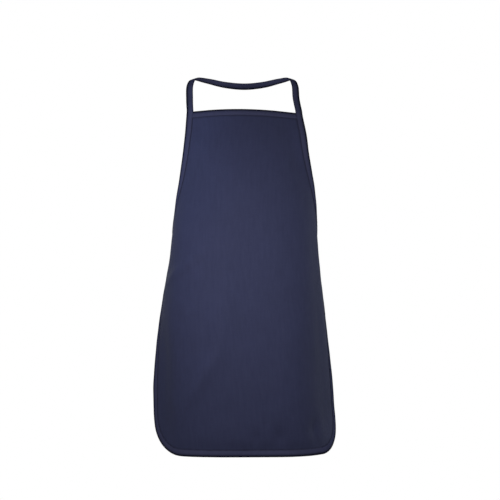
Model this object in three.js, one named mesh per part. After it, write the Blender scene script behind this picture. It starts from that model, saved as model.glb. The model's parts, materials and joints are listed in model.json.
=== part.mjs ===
// Bib apron in its worn shape: one cloth panel with bound edges, a neck strap and knotted waist ties.
// Millimetres, +Z up. The bib faces -Y and its right-hand side, seen from the front, is at +X.
// The origin is the middle of the neck strap's inner face, where the strap rests on the nape.
import * as THREE from "three";

// Cut of the flat panel
const PANEL_LENGTH = 762;
const PANEL_WIDTH = 508;
const BIB_WIDTH = 262;
const ARMHOLE_DEPTH = 290;
const ARMHOLE_HOLLOW = { across: 158, down: 206 };
const HEM_CORNER_RADIUS = 92;

// Cloth and tape
const CLOTH_THICKNESS = 1;
const TAPE_WIDTH = 15.9;
const TAPE_PLY = 1;
const STRAP_THICKNESS = 2.4;
const STRAP_EDGE_ROUNDING = 0.4;
const FOLD_TIP_SHARE = 0.6;
const SEAM_GAP = 0.3;
const BUTT_GAP = 0.4;

// Height of the bib's top edge at the centre front
const BIB_TOP_HEIGHT = -69.5;

// Distances from the centre front, along the cloth, at which the levels give the way it faces
const TURN_STATIONS = [0, 70, 140, 210, 280];

// One row for each level of the worn panel. down is measured along the centre front from the bib's top edge.
// forward and aside place the centre front. dip is how much lower the cloth lies at DIP_REACH on both sides
// of it, tilt how much lower still on its right and higher on its left. right and left give how far the cloth
// has turned to the side, in degrees, at each turn station.
const DIP_REACH = 250;
const LEVELS = [
  {
    down: 0, forward: 152, aside: 0, dip: 21, tilt: 4,
    right: [0, 14, 18, 44, 72],
    left: [0, 16, 24, 51, 76],
  },
  {
    down: 45, forward: 167, aside: 0, dip: 16, tilt: 3,
    right: [0, 13, 14, 48, 78],
    left: [0, 21, 30, 59, 82],
  },
  {
    down: 90, forward: 182, aside: 0, dip: 12, tilt: 1,
    right: [0, 13, 30, 68, 85],
    left: [0, 20, 41, 69, 86],
  },
  {
    down: 180, forward: 206, aside: 0, dip: 6, tilt: 0,
    right: [0, 15, 39, 86, 102],
    left: [0, 26, 43, 90, 102],
  },
  {
    down: 290, forward: 213, aside: 1, dip: 4, tilt: 0,
    right: [0, 8, 43, 86, 118],
    left: [0, 12, 42, 86, 118],
  },
  {
    down: 450, forward: 214, aside: 5, dip: 6, tilt: 0,
    right: [0, 6, 40, 76, 95],
    left: [0, 6, 32, 67, 96],
  },
  {
    down: 600, forward: 214, aside: 14, dip: 7, tilt: 0,
    right: [0, 7, 47, 67, 70],
    left: [0, 5, 27, 52, 58],
  },
  {
    down: 690, forward: 214, aside: 20, dip: 5, tilt: -1,
    right: [0, 9, 47, 66, 66],
    left: [0, 6, 23, 49, 58],
  },
  {
    down: 762, forward: 214, aside: 24, dip: 3, tilt: -1,
    right: [0, 8, 41, 61, 66],
    left: [0, 6, 20, 43, 52],
  },
];

// Soft folds: where the crest is, how it slants, how far it spreads each way and how high it stands
const FOLDS = [
  { across: -56, down: 474, slant: -0.16, halfWidth: 24, halfLength: 95, height: 6.5 },
  { across: -104, down: 592, slant: -0.6, halfWidth: 19, halfLength: 62, height: 7.5 },
  { across: -148, down: 356, slant: -1.45, halfWidth: 22, halfLength: 34, height: 5 },
  { across: -210, down: 600, slant: 0, halfWidth: 26, halfLength: 130, height: -5.5 },
  { across: 54, down: 720, slant: 0, halfWidth: 16, halfLength: 20, height: -6 },
  { across: 6, down: 722, slant: 0, halfWidth: 15, halfLength: 16, height: -3.5 },
  { across: 142, down: 710, slant: 0, halfWidth: 15, halfLength: 24, height: -4.5 },
  { across: 20, down: 750, slant: 0, halfWidth: 160, halfLength: 17, height: -6 },
  { across: -118, down: 100, slant: -0.3, halfWidth: 20, halfLength: 80, height: -4 },
  { across: 116, down: 100, slant: 0.3, halfWidth: 20, halfLength: 80, height: -4 },
  { across: 182, down: 500, slant: 0.06, halfWidth: 22, halfLength: 190, height: -3 },
];

// The neck strap leaves the bib's corner straight for STRAP_LEAD. The rows then give its inner face from the
// right-hand shoulder to the nape: out from the centre line, aside for both shoulders alike, back and up from
// the nape, and the way the tape's outer face looks there.
const STRAP_LEAD = 4;
const STRAP_ROUTE = [
  { out: 119, aside: -3, back: -101, up: -40, face: [0.22, -0.8, 0.56] },
  { out: 118, aside: -4, back: -80, up: -8, face: [0.22, -0.54, 0.81] },
  { out: 110, aside: -4, back: -57, up: 9, face: [0.24, -0.05, 0.97] },
  { out: 84, aside: -2, back: -29, up: 9, face: [0.2, 0.5, 0.84] },
  { out: 44, aside: -1, back: -7, up: 3, face: [0.14, 0.78, 0.61] },
  { out: 0, aside: 0, back: 0, up: 0, face: [0, 0.87, 0.5] },
];

// The waist tie, sewn inside the right-hand waist corner, and its route behind the waist towards the knot
const TIE_DOWN = 301;
const TIE_SEWN_LENGTH = 28;
const WAIST_MIDDLE_BACK = -100;
const TIE_ROUTE = [
  { out: 141, back: -32 },
  { out: 108, back: -7 },
  { out: 62, back: 6 },
];

// Knot and hanging tie ends
const KNOT = { width: 24, depth: 13, height: 19, back: 10 };
const TIE_END_LENGTH = 300;
const TIE_END_SPLAY = 16;
const TIE_END_SPACING = 6.4;

// Fineness of the meshes
const ARMHOLE_ROWS = 13;
const SIDE_ROWS = 12;
const CORNER_ROWS = 9;
const PANEL_COLUMNS = 30;
const STRAP_STEPS = 44;
const TIE_STEPS = 14;
const TIE_END_STEPS = 10;
const DRAPE_STEP = 5;

// Navy cloth and tape
const CLOTH_COLOUR = 0x34385a;
const TAPE_COLOUR = 0x3d415f;

const halfWidth = PANEL_WIDTH / 2;
const halfBib = BIB_WIDTH / 2;
const bindingInset = TAPE_WIDTH - SEAM_GAP - TAPE_PLY;

// Smooth curve through the values at the stations
function smoothAt(stations, values, place) {
  const last = stations.length - 1;
  let k = 0;
  while (k < last - 1 && place > stations[k + 1]) {
    k += 1;
  }
  const slope = (i) => {
    const before = Math.max(i - 1, 0);
    const after = Math.min(i + 1, last);
    return (values[after] - values[before]) / (stations[after] - stations[before]);
  };
  const span = stations[k + 1] - stations[k];
  const t = (place - stations[k]) / span;
  const ease = t * t * (3 - 2 * t);
  const leave = t * (1 - t) * (1 - t) * span * slope(k);
  const arrive = t * t * (t - 1) * span * slope(k + 1);
  return values[k] * (1 - ease) + values[k + 1] * ease + leave + arrive;
}

const levelDowns = LEVELS.map((level) => level.down);

function levelColumn(column, down) {
  return smoothAt(levelDowns, LEVELS.map((level) => level[column]), down);
}

// Height of the centre front, which keeps its cut length as it leans
function centreHeight(down) {
  const steps = Math.max(1, Math.ceil(Math.abs(down) / DRAPE_STEP));
  const step = down / steps;
  let height = BIB_TOP_HEIGHT;
  for (let i = 0; i < steps; i += 1) {
    const lean = levelColumn("forward", (i + 1) * step) - levelColumn("forward", i * step);
    height -= Math.sign(step) * Math.sqrt(step * step - lean * lean);
  }
  return height;
}

// Height of the folds above the smooth drape
function foldHeight(across, down) {
  let height = 0;
  for (const fold of FOLDS) {
    const along = (down - fold.down) / fold.halfLength;
    const aside = (across - fold.across - fold.slant * (down - fold.down)) / fold.halfWidth;
    height += fold.height * Math.exp(-aside * aside - along * along);
  }
  return height;
}

// All that one level of the drape needs
const knownLevels = new Map();
function levelAt(down) {
  if (!knownLevels.has(down)) {
    const turnsOf = (side) =>
      TURN_STATIONS.map((_, k) => THREE.MathUtils.degToRad(
        smoothAt(levelDowns, LEVELS.map((level) => level[side][k]), down),
      ));
    knownLevels.set(down, {
      forward: levelColumn("forward", down),
      aside: levelColumn("aside", down),
      dip: levelColumn("dip", down),
      tilt: levelColumn("tilt", down),
      height: centreHeight(down),
      right: turnsOf("right"),
      left: turnsOf("left"),
    });
  }
  return knownLevels.get(down);
}

// Worn place of a point of the flat panel: each level is followed round from the centre front by its turns
function drape(across, down) {
  const level = levelAt(down);
  const side = across < 0 ? -1 : 1;
  const turns = across < 0 ? level.left : level.right;
  const reach = Math.abs(across);
  const steps = Math.max(1, Math.ceil(reach / DRAPE_STEP));
  const step = reach / steps;
  let out = 0;
  let back = 0;
  for (let i = 0; i < steps; i += 1) {
    const turn = smoothAt(TURN_STATIONS, turns, (i + 0.5) * step);
    out += step * Math.cos(turn);
    back += step * Math.sin(turn);
  }
  const facing = smoothAt(TURN_STATIONS, turns, reach);
  const fold = foldHeight(across, down);
  const share = across / DIP_REACH;
  return new THREE.Vector3(
    level.aside + side * (out + fold * Math.sin(facing)),
    back - level.forward - fold * Math.cos(facing),
    level.height - level.dip * share ** 2 - level.tilt * share,
  );
}

// The way the cloth's outer face looks
function clothNormal(across, down) {
  const acrossStep = drape(across + 1, down).sub(drape(across - 1, down));
  const downStep = drape(across, down + 1).sub(drape(across, down - 1));
  return downStep.cross(acrossStep).normalize();
}

// A point of the worn panel with its normal
function clothPoint(across, down) {
  return { at: drape(across, down), normal: clothNormal(across, down) };
}

// Armhole edge of the flat panel: distance from the centre line at a distance down, and its slope there
function armholeEdge(down) {
  const { across: hollowAcross, down: hollowDown } = ARMHOLE_HOLLOW;
  const bend = 2 * hollowDown - ARMHOLE_DEPTH;
  const t = (hollowDown - Math.sqrt(hollowDown * hollowDown - bend * down)) / bend;
  const curve = new THREE.QuadraticBezierCurve(
    new THREE.Vector2(halfBib, 0),
    new THREE.Vector2(hollowAcross, hollowDown),
    new THREE.Vector2(halfWidth, ARMHOLE_DEPTH),
  );
  const tangent = curve.getTangent(t);
  return { across: curve.getPoint(t).x, slope: tangent.x / tangent.y };
}

// Stations down one side of the flat panel: a point on the cut edge and one under the binding's inner edge
function edgeStations() {
  const stations = [];
  const armholeStep = (ARMHOLE_DEPTH - bindingInset) / (ARMHOLE_ROWS - 1);
  for (let i = 0; i < ARMHOLE_ROWS; i += 1) {
    const down = i === 0 ? 0 : bindingInset + (i - 1) * armholeStep;
    const edge = armholeEdge(down);
    const inset = bindingInset * Math.hypot(1, edge.slope);
    stations.push({ outer: [edge.across, down], inner: [edge.across - inset, down] });
  }
  const sideLength = PANEL_LENGTH - HEM_CORNER_RADIUS - ARMHOLE_DEPTH;
  for (let i = 0; i < SIDE_ROWS; i += 1) {
    const down = ARMHOLE_DEPTH + (i / SIDE_ROWS) * sideLength;
    stations.push({ outer: [halfWidth, down], inner: [halfWidth - bindingInset, down] });
  }
  const centre = [halfWidth - HEM_CORNER_RADIUS, PANEL_LENGTH - HEM_CORNER_RADIUS];
  for (let i = 0; i <= CORNER_ROWS; i += 1) {
    const angle = (i / CORNER_ROWS) * Math.PI / 2;
    const onArc = (radius) => [centre[0] + radius * Math.cos(angle), centre[1] + radius * Math.sin(angle)];
    stations.push({ outer: onArc(HEM_CORNER_RADIUS), inner: onArc(HEM_CORNER_RADIUS - bindingInset) });
  }
  return stations;
}

// Mesh of the given points and triangles, with its faces turned outwards
function closedGeometry(points, triangles) {
  let volume = 0;
  for (const [a, b, c] of triangles) {
    volume += points[a].dot(points[b].clone().cross(points[c]));
  }
  const outward = volume < 0 ? triangles.map(([a, b, c]) => [a, c, b]) : triangles;
  const geometry = new THREE.BufferGeometry();
  geometry.setFromPoints(points);
  geometry.setIndex(outward.flat());
  geometry.computeVertexNormals();
  return geometry;
}

// Solid swept through sections that all have the outline's number of points. Each face is split from its
// outer end to the next section's inner end, so that a binding's walls bend as the panel under them does.
function sweptGeometry(sections, outline) {
  const count = outline.length;
  const points = sections.flat();
  const triangles = [];
  for (let s = 0; s < sections.length - 1; s += 1) {
    for (let k = 0; k < count; k += 1) {
      const next = (k + 1) % count;
      const a = s * count + k;
      const b = s * count + next;
      if (outline[k].x < outline[next].x) {
        triangles.push([a, b, a + count], [b, b + count, a + count]);
      } else {
        triangles.push([a, b, b + count], [a, b + count, a + count]);
      }
    }
  }
  const lastSection = (sections.length - 1) * count;
  const turn = THREE.ShapeUtils.area(outline);
  for (const lid of THREE.ShapeUtils.triangulateShape(outline, [])) {
    const sameTurn = THREE.ShapeUtils.area(lid.map((k) => outline[k])) * turn > 0;
    const [a, b, c] = sameTurn ? lid : lid.toReversed();
    triangles.push([a, c, b], [a + lastSection, b + lastSection, c + lastSection]);
  }
  return closedGeometry(points, triangles);
}

// Rows of the panel's grid, from the bib's top edge to the hem's binding line, then the hem itself
const stations = edgeStations();
const panelRows = stations.map(({ outer, inner }) => {
  const row = [clothPoint(-outer[0], outer[1])];
  for (let i = 0; i <= PANEL_COLUMNS; i += 1) {
    row.push(clothPoint(inner[0] * (2 * i / PANEL_COLUMNS - 1), inner[1]));
  }
  row.push(clothPoint(outer[0], outer[1]));
  return row;
});
const lastRow = panelRows[panelRows.length - 1];
const rightEdge = lastRow.length - 1;
const hemStart = stations[stations.length - 1].outer[0];
const hemRow = lastRow.map((_, c) => {
  if (c <= 1 || c >= rightEdge - 1) {
    return lastRow[c <= 1 ? 0 : rightEdge];
  }
  return clothPoint(hemStart * (2 * (c - 1) / PANEL_COLUMNS - 1), PANEL_LENGTH);
});

// The cloth panel, thickened both ways from its middle surface
function panelGeometry() {
  const places = [...panelRows, hemRow].flat();
  const order = new Map();
  for (const place of places) {
    if (!order.has(place)) {
      order.set(place, order.size);
    }
  }
  const quads = [];
  const addStrip = (upper, lower, from, to) => {
    for (let c = from; c < to; c += 1) {
      quads.push([lower[c], lower[c + 1], upper[c + 1], upper[c]].map((place) => order.get(place)));
    }
  };
  for (let r = 0; r < panelRows.length - 1; r += 1) {
    addStrip(panelRows[r], panelRows[r + 1], 0, rightEdge);
  }
  addStrip(lastRow, hemRow, 1, rightEdge - 1);

  const middle = [...order.keys()];
  const faceOf = (offset) => middle.map(({ at, normal }) => at.clone().addScaledVector(normal, offset));
  const points = [...faceOf(CLOTH_THICKNESS / 2), ...faceOf(-CLOTH_THICKNESS / 2)];
  const behind = middle.length;
  const triangles = [];
  const edges = new Set();
  for (const [a, b, c, d] of quads) {
    triangles.push([a, b, c], [a, c, d]);
    triangles.push([a + behind, c + behind, b + behind], [a + behind, d + behind, c + behind]);
    for (const [from, to] of [[a, b], [b, c], [c, d], [d, a]]) {
      if (!edges.delete(`${to},${from}`)) {
        edges.add(`${from},${to}`);
      }
    }
  }
  for (const edge of edges) {
    const [a, b] = edge.split(",").map(Number);
    triangles.push([b, a, a + behind], [b, a + behind, b + behind]);
  }
  return closedGeometry(points, triangles);
}

// Section of tape folded over an edge: x runs outwards from the binding's inner edge, y through the cloth
const foldedInside = CLOTH_THICKNESS / 2 + SEAM_GAP;
const foldedOutside = foldedInside + TAPE_PLY;
const foldedTip = FOLD_TIP_SHARE * foldedOutside;
const FOLDED_TAPE = [
  { along: 0, beyond: 0, through: foldedOutside },
  { along: 1, beyond: 0, through: foldedOutside },
  { along: 1, beyond: SEAM_GAP + TAPE_PLY, through: foldedTip },
  { along: 1, beyond: SEAM_GAP + TAPE_PLY, through: -foldedTip },
  { along: 1, beyond: 0, through: -foldedOutside },
  { along: 0, beyond: 0, through: -foldedOutside },
  { along: 0, beyond: 0, through: -foldedInside },
  { along: 1, beyond: SEAM_GAP, through: -foldedInside },
  { along: 1, beyond: SEAM_GAP, through: foldedInside },
  { along: 0, beyond: 0, through: foldedInside },
];

// Tape folded over a run of the panel's edge, given as pairs of an outer and an inner place
function bindingGeometry(pairs) {
  const sections = pairs.map(({ outer, inner }) => {
    const outwards = outer.at.clone().sub(inner.at).normalize();
    return FOLDED_TAPE.map(({ along, beyond, through }) => {
      const base = along === 1 ? outer : inner;
      return base.at.clone().addScaledVector(outwards, beyond).addScaledVector(base.normal, through);
    });
  });
  const outline = FOLDED_TAPE.map(({ along, beyond, through }) =>
    new THREE.Vector2(along * bindingInset + beyond, through));
  return sweptGeometry(sections, outline);
}

// A pair of places moved along the edge towards the next pair
function movedTowards(pair, next, distance) {
  const direction = next.outer.at.clone().sub(pair.outer.at).normalize();
  const moved = ({ at, normal }) => ({ at: at.clone().addScaledVector(direction, distance), normal });
  return { outer: moved(pair.outer), inner: moved(pair.inner) };
}

const leftPairs = panelRows.map((row) => ({ outer: row[0], inner: row[1] }));
const rightPairs = panelRows.map((row) => ({ outer: row[rightEdge], inner: row[rightEdge - 1] }));
const waistRow = ARMHOLE_ROWS;

function topBindingGeometry() {
  const pairs = panelRows[0].map((outer, c) => ({ outer, inner: panelRows[1][c] })).slice(1, rightEdge);
  const last = pairs.length - 1;
  const first = movedTowards(pairs[0], pairs[1], BUTT_GAP);
  const end = movedTowards(pairs[last], pairs[last - 1], BUTT_GAP);
  return bindingGeometry([first, ...pairs.slice(1, last), end]);
}

function armholeBindingGeometry(pairs, side) {
  const run = pairs.slice(0, waistRow + 1);
  return bindingGeometry(side > 0 ? run : run.toReversed());
}

function hemBindingGeometry() {
  const sideRun = (pairs) => {
    const [waist, ...rest] = pairs.slice(waistRow);
    return [movedTowards(waist, rest[0], BUTT_GAP), ...rest];
  };
  const hemRun = hemRow.map((outer, c) => ({ outer, inner: lastRow[c] })).slice(2, rightEdge - 1);
  return bindingGeometry([...sideRun(rightPairs), ...hemRun.reverse(), ...sideRun(leftPairs).reverse()]);
}

// Section of flat tape with softened edges
function flatTapeOutline(width, thickness) {
  const x = width / 2;
  const y = thickness / 2;
  const corner = STRAP_EDGE_ROUNDING * thickness;
  return [
    [x, y - corner], [x - corner, y], [corner - x, y], [-x, y - corner],
    [-x, corner - y], [corner - x, -y], [x - corner, -y], [x, corner - y],
  ].map(([across, through]) => new THREE.Vector2(across, through));
}

// Flat tape along a smooth route of places whose normals say which way its outer face looks
function tapeGeometry(route, steps) {
  const path = new THREE.CatmullRomCurve3(route.map(({ at }) => at), false, "centripetal");
  const facing = new THREE.CatmullRomCurve3(route.map(({ normal }) => normal));
  const outline = flatTapeOutline(TAPE_WIDTH, STRAP_THICKNESS);
  const sections = [];
  for (let i = 0; i <= steps; i += 1) {
    const t = i / steps;
    const centre = path.getPoint(t);
    const tangent = path.getTangent(t);
    const across = tangent.clone().cross(facing.getPoint(t)).normalize();
    const normal = across.clone().cross(tangent).normalize();
    sections.push(outline.map(({ x, y }) =>
      centre.clone().addScaledVector(across, x).addScaledVector(normal, y)));
  }
  return sweptGeometry(sections, outline);
}

// The strap leaves the bib's corner square to the end of the armhole binding
function strapStart({ outer, inner }, side) {
  const width = outer.at.clone().sub(inner.at).normalize();
  const normal = inner.normal.clone().add(outer.normal).normalize();
  const upwards = normal.clone().cross(width).multiplyScalar(side);
  const middle = inner.at.clone().addScaledVector(width, TAPE_WIDTH / 2);
  const risen = (rise) => ({ at: middle.clone().addScaledVector(upwards, rise), normal });
  return [risen(BUTT_GAP), risen(STRAP_LEAD)];
}

function neckStrapGeometry() {
  const shoulder = (side) => STRAP_ROUTE.map(({ out, aside, back, up, face }) => {
    const normal = new THREE.Vector3(side * face[0], face[1], face[2]).normalize();
    const at = new THREE.Vector3(side * out + aside, back, up).addScaledVector(normal, STRAP_THICKNESS / 2);
    return { at, normal };
  });
  const left = [...strapStart(leftPairs[0], -1), ...shoulder(-1)];
  const right = [...strapStart(rightPairs[0], 1), ...shoulder(1)];
  return tapeGeometry([...left, ...right.slice(0, -1).reverse()], STRAP_STEPS);
}

// Height at which the ties run round the back, level with the waist corners
const tieHeight = (drape(halfWidth, TIE_DOWN).z + drape(-halfWidth, TIE_DOWN).z) / 2;

// Each tie is sewn inside the waist corner, over the side's binding, and runs round to the knot
function waistTieGeometry(side) {
  const behindBinding = -(foldedOutside + SEAM_GAP + STRAP_THICKNESS / 2);
  const sewn = [TIE_SEWN_LENGTH, TIE_SEWN_LENGTH / 2, 0].map((inset) => {
    const { at, normal } = clothPoint(side * (halfWidth - inset), TIE_DOWN);
    return { at: at.addScaledVector(normal, behindBinding), normal };
  });
  const behind = TIE_ROUTE.map(({ out, back }) => {
    const normal = new THREE.Vector3(side * out, back - WAIST_MIDDLE_BACK, 0).normalize();
    return { at: new THREE.Vector3(side * out, back, tieHeight), normal };
  });
  const end = {
    at: new THREE.Vector3(side * (KNOT.width / 2 + SEAM_GAP), KNOT.back, tieHeight),
    normal: new THREE.Vector3(0, 1, 0),
  };
  return tapeGeometry([...sewn, ...behind, end], TIE_STEPS);
}

// The knot is a plain rounded block with flat cheeks where the ties go in
function knotGeometry() {
  const { width, depth, height, back } = KNOT;
  const round = depth / 3;
  const profile = new THREE.Shape();
  profile.moveTo(-depth / 2 + round, -height / 2);
  profile.absarc(depth / 2 - round, -height / 2 + round, round, -Math.PI / 2, 0);
  profile.absarc(depth / 2 - round, height / 2 - round, round, 0, Math.PI / 2);
  profile.absarc(-depth / 2 + round, height / 2 - round, round, Math.PI / 2, Math.PI);
  profile.absarc(-depth / 2 + round, -height / 2 + round, round, Math.PI, 1.5 * Math.PI);
  const extrusion = { depth: width, bevelEnabled: false, curveSegments: 4 };
  const geometry = new THREE.ExtrudeGeometry(profile, extrusion);
  geometry.translate(0, 0, -width / 2);
  geometry.rotateX(Math.PI / 2);
  geometry.rotateZ(Math.PI / 2);
  geometry.translate(0, back, tieHeight);
  return geometry;
}

// The tie ends hang from the knot, one behind the other, and splay apart
function tieEndGeometry(side) {
  const top = tieHeight - KNOT.height / 2 - BUTT_GAP;
  const back = KNOT.back + side * TIE_END_SPACING / 2;
  const route = [0, 0.2, 0.5, 1].map((share) => ({
    at: new THREE.Vector3(side * TIE_END_SPLAY * share * share, back, top - TIE_END_LENGTH * share),
    normal: new THREE.Vector3(0, 1, 0),
  }));
  return tapeGeometry(route, TIE_END_STEPS);
}

const apron = new THREE.Group();

function addPiece(name, geometry, colour) {
  const material = new THREE.MeshStandardMaterial({ color: colour, roughness: 0.9, metalness: 0 });
  const piece = new THREE.Mesh(geometry, material);
  piece.name = name;
  apron.add(piece);
}

addPiece("apron_panel", panelGeometry(), CLOTH_COLOUR);
addPiece("bib_top_binding", topBindingGeometry(), TAPE_COLOUR);
addPiece("left_armhole_binding", armholeBindingGeometry(leftPairs, -1), TAPE_COLOUR);
addPiece("right_armhole_binding", armholeBindingGeometry(rightPairs, 1), TAPE_COLOUR);
addPiece("hem_binding", hemBindingGeometry(), TAPE_COLOUR);
addPiece("neck_strap", neckStrapGeometry(), TAPE_COLOUR);
addPiece("left_waist_tie", waistTieGeometry(-1), TAPE_COLOUR);
addPiece("right_waist_tie", waistTieGeometry(1), TAPE_COLOUR);
addPiece("tie_knot", knotGeometry(), TAPE_COLOUR);
addPiece("left_tie_end", tieEndGeometry(-1), TAPE_COLOUR);
addPiece("right_tie_end", tieEndGeometry(1), TAPE_COLOUR);

export default apron;
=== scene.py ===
# Bib apron in its worn shape: cloth panel, bound edges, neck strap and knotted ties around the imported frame.
# Shapes are worked out in millimetres in the frame's axes and written to the meshes in metres.
import json
import math

import bpy
import numpy as np
from bpy.props import FloatProperty, FloatVectorProperty, PointerProperty
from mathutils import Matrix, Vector


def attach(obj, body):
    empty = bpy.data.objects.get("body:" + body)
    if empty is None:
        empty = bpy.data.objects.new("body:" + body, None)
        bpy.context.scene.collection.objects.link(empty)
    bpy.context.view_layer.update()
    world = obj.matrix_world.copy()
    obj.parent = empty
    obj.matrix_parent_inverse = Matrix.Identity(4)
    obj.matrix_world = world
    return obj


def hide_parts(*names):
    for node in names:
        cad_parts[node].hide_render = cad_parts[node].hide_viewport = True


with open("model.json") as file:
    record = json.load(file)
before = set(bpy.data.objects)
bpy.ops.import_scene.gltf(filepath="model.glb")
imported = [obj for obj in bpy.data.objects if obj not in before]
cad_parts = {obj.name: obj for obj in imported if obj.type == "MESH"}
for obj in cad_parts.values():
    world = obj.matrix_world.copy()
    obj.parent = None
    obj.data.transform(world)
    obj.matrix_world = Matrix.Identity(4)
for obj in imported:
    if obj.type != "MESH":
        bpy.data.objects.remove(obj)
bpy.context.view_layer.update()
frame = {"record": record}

bl_info = {
    "name": "Bib apron",
    "version": (1, 0, 0),
    "blender": (4, 5, 0),
    "location": "3D View > Sidebar > Apron",
    "description": "Makes a worn bib apron with bound edges, neck strap, knotted ties and stitching",
    "category": "Add Mesh",
}

MM = 0.001
SLOT_COLOURS = {slot["slot"]: slot["base_color"] for slot in frame["record"]["materials"]}

# Worn shape of the panel, one row for each level. down is measured along the centre front from the bib's top
# edge, forward and aside place the centre front, dip is how much lower the cloth lies at DIP_REACH on both
# sides of it, tilt how much more on its right than on its left, halved, and the turns say how far the cloth
# has turned to the side, in degrees, at each turn station out from the centre front.
BIB_TOP_HEIGHT = -69.5
DIP_REACH = 250.0
TURN_STATIONS = (0, 70, 140, 210, 280)
LEVELS = (
    # down, forward, aside, dip, tilt, right turns, left turns
    (0, 152, 0, 21, 4, (0, 14, 18, 44, 72), (0, 16, 24, 51, 76)),
    (45, 167, 0, 16, 3, (0, 13, 14, 48, 78), (0, 21, 30, 59, 82)),
    (90, 182, 0, 12, 1, (0, 13, 30, 68, 85), (0, 20, 41, 69, 86)),
    (180, 206, 0, 6, 0, (0, 15, 39, 86, 102), (0, 26, 43, 90, 102)),
    (290, 213, 1, 4, 0, (0, 8, 43, 86, 118), (0, 12, 42, 86, 118)),
    (450, 214, 5, 6, 0, (0, 6, 40, 76, 95), (0, 6, 32, 67, 96)),
    (600, 214, 14, 7, 0, (0, 7, 47, 67, 70), (0, 5, 27, 52, 58)),
    (690, 214, 20, 5, -1, (0, 9, 47, 66, 66), (0, 6, 23, 49, 58)),
    (762, 214, 24, 3, -1, (0, 8, 41, 61, 66), (0, 6, 20, 43, 52)),
)

# Soft folds: where the crest is, how it slants, how far it spreads each way and how high it stands
FOLDS = (
    # across, down, slant, half width, half length, height
    (-56, 474, -0.16, 24, 95, 6.5),
    (-104, 592, -0.6, 19, 62, 7.5),
    (-148, 356, -1.45, 22, 34, 5.0),
    (-210, 600, 0.0, 26, 130, -5.5),
    (54, 720, 0.0, 16, 20, -6.0),
    (6, 722, 0.0, 15, 16, -3.5),
    (142, 710, 0.0, 15, 24, -4.5),
    (20, 750, 0.0, 160, 17, -6.0),
    (-118, 100, -0.3, 20, 80, -4.0),
    (116, 100, 0.3, 20, 80, -4.0),
    (182, 500, 0.06, 22, 190, -3.0),
)

# Faint unevenness of worn cloth, as crossing waves
RIPPLES = (
    # wave length, direction in degrees, phase, height
    (93, 12, 0.4, 0.22),
    (61, -24, 2.1, 0.14),
    (47, 71, 4.0, 0.10),
    (38, 8, 1.3, 0.08),
)

# Grid on which the worn surface is worked out, one millimetre apart across
LATTICE_REACH = 290
LATTICE_TOP = -10.0
LATTICE_BOTTOM = 780.0
LATTICE_STEP = 2.5

# Armhole curve: how far its pull point lies outside the bib's edge, and how far down as a share of its depth
HOLLOW_OUT = 27.0
HOLLOW_SHARE = 0.71034

# Fineness of the pieces. By its edges the panel is finer, at these distances from its cut edge.
PANEL_STEP = 3.2
PANEL_COLUMNS = 126
PANEL_EDGE = (0, 5, 9.5, 12, 13.6, 14.8, 16.2, 18, 20.5, 24)
TAPE_STEP = 2.2

# How far the panel's cut edge stays inside the folded tape
EDGE_TUCK = 1.0

# Upper half of the folded tape's section: distance from its sewn edge, and height above its inner face.
# The stitches pull it down near the sewn edge.
PLY_PROFILE = (
    (0.15, 0.14), (0.0, 0.45), (0.15, 0.76), (0.45, 0.86), (0.9, 0.8), (1.3, 0.72), (1.8, 0.8), (2.8, 0.97),
    (4.4, 1.06), (7.3, 1.12), (10.5, 1.1), (13.0, 1.03), (14.4, 0.95),
)
FOLD_START = 14.4
FOLD_REACH = 1.5
FOLD_ANGLES = (65, 40, 20, 0, -20, -40, -65)
INNER_FACE = (0.6, 7.3, 14.0)
INNER_FOLD = 14.75
STITCH_INSET = 1.3
STITCH_SEAT = 0.72

# How far the fold goes past the cut edge, half the opening between the plies round cloth and on their own,
# and how long before the waist corner the armhole tape takes its straight width
FOLD_BEYOND = 1.3
BOUND_INSIDE = 0.48
PLAIN_INSIDE = 0.08
WAIST_EASE = 23.0

# Fullness of the tape along a run, from the pull of its stitches, as waves of which the first drifts
PUCKERS = (
    # wave length, phase, drift, share
    (8.7, 0.0, 0.6, 0.5),
    (13.9, 1.1, 0.0, 0.3),
    (21.3, 2.7, 0.0, 0.2),
)
DRIFT_LENGTH = 31.0
BOUND_FULLNESS = 0.09
PLAIN_FULLNESS = 0.05
PLAIN_PUCKER_START = 40.0

# Painted shade: dark line along the sewn edge, its reach on the panel, and the darker rim of the fold
SEAM_WIDTH = 1.2
SEAM_REACH = 1.5
SEWN_DEPTH = 0.45
RIM_START = 9.6
RIM_FULL = 12.4

# Neck strap: how it leaves the bib's corner, and rows from one shoulder to the nape, as in the frame
STRAP_THICKNESS = 2.4
STRAP_LEAD = 4.0
STRAP_OPENING_EASE = 16.0
STRAP_ROUTE = (
    # out, aside, back, up, facing
    (119, -3, -101, -40, (0.22, -0.8, 0.56)),
    (118, -4, -80, -8, (0.22, -0.54, 0.81)),
    (110, -4, -57, 9, (0.24, -0.05, 0.97)),
    (84, -2, -29, 9, (0.2, 0.5, 0.84)),
    (44, -1, -7, 3, (0.14, 0.78, 0.61)),
    (0, 0, 0, 0, (0, 0.87, 0.5)),
)

# Waist ties: inset from the side edge and depth behind the cloth where they are sewn on, then out and back.
# After them the knot and the hanging ends.
TIE_DOWN = 301.0
TIE_SEWN = ((28, 2.0), (14, 2.75), (0, 2.95))
WAIST_MIDDLE_BACK = -100.0
TIE_ROUTE = ((141, -32), (108, -7), (62, 6))
KNOT_WIDTH = 24.0
KNOT_HEIGHT = 19.0
KNOT_BACK = 10.0
TIE_END_LENGTH = 300.0
TIE_END_SPLAY = 16.0
TIE_END_SPACING = 6.4

# Uneven yarns of the weave, as stretched noise
YARNS = (
    # stretch, scale, share
    ((1.0, 0.12, 1.0), 420.0, 0.25),
    ((0.12, 1.0, 1.0), 420.0, 0.25),
    ((1.0, 0.14, 1.0), 150.0, 0.5),
)
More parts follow.
